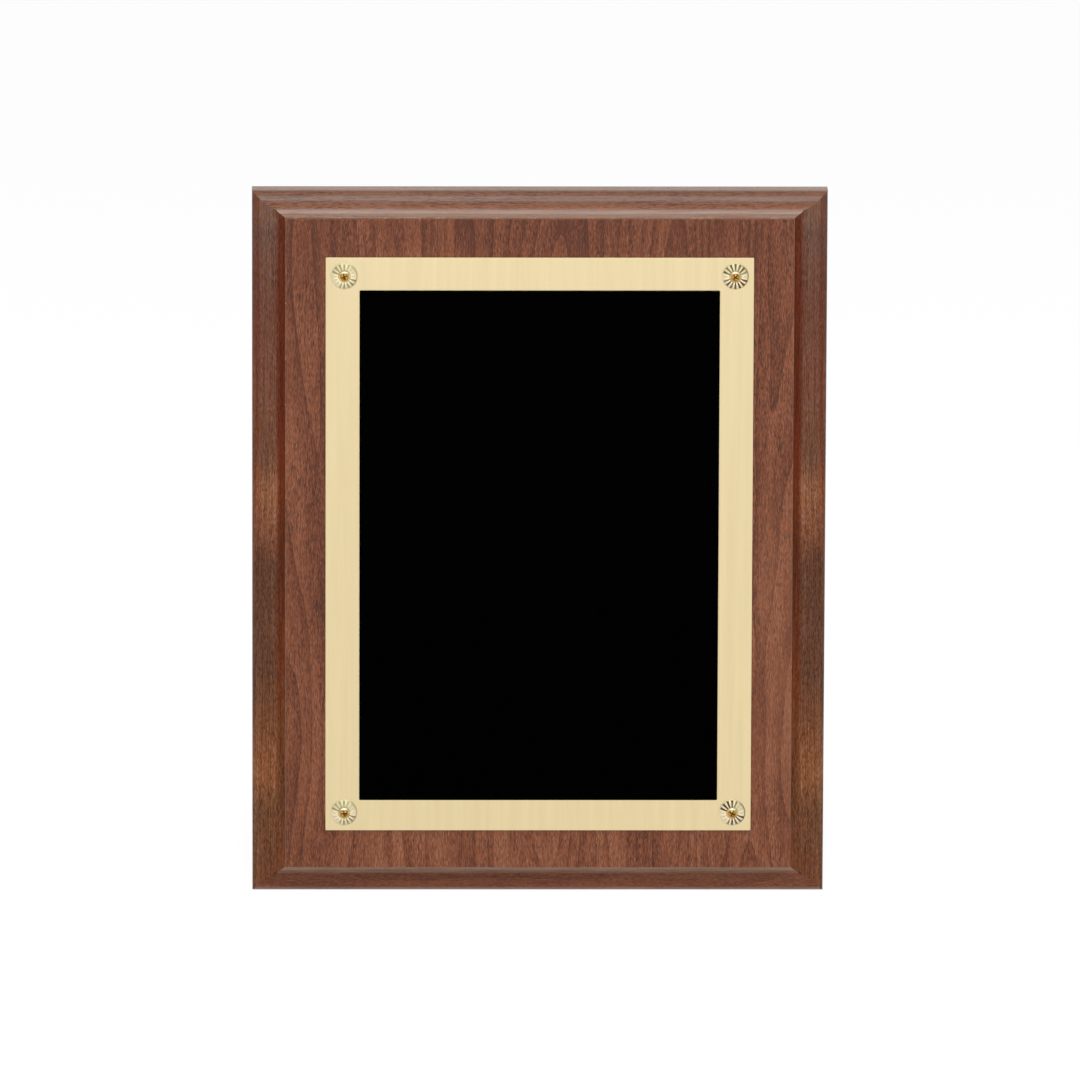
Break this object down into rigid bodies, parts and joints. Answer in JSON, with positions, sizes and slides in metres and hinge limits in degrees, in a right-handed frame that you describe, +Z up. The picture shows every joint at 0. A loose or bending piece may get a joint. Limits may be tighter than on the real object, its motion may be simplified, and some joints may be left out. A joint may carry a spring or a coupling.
{
  "type": "wooden plaque",
  "caption": "Upright walnut-foil award plaque: moulded board, brass plate with a black engraving panel and corner rosettes on screws, keyhole slots in the back.",
  "frame": {"origin": "centre of the flat back, which lies against the wall in the plane y = 0", "axes": "+Z up with the plaque hung upright, +X to the viewer's right, the face looks along -Y and the back along +Y"},
  "size_m": [0.2032, 0.0149, 0.254],
  "materials": {
    "fibreboard": "bare fibreboard",
    "walnut_foil": "satin walnut-grain foil",
    "backing_paper": "matt brown paper",
    "tape": "foam mounting tape",
    "brass_sheet": "fine upright brushing, lacquered",
    "film": "adhesive film",
    "black_lacquer": "smooth black lacquer",
    "stamped_brass": "bright stamped",
    "screw_brass": "smooth, lightly polished"
  },
  "bodies": {
    "root": {"board_core": "fibreboard", "front_veneer": "walnut_foil", "back_sheet": "backing_paper", "plate_tape": "tape", "brass_plate": "brass_sheet", "panel_film": "film", "engraving_panel": "black_lacquer", "left_edge_wrap": "walnut_foil", "right_edge_wrap": "walnut_foil", "top_edge_wrap": "walnut_foil", "bottom_edge_wrap": "walnut_foil", "rosette_top_left": "stamped_brass", "rosette_top_right": "stamped_brass", "rosette_bottom_left": "stamped_brass", "rosette_bottom_right": "stamped_brass", "rosette_screw_top_left": "screw_brass", "rosette_screw_top_right": "screw_brass", "rosette_screw_bottom_left": "screw_brass", "rosette_screw_bottom_right": "screw_brass"}
  },
  "joints": []
}
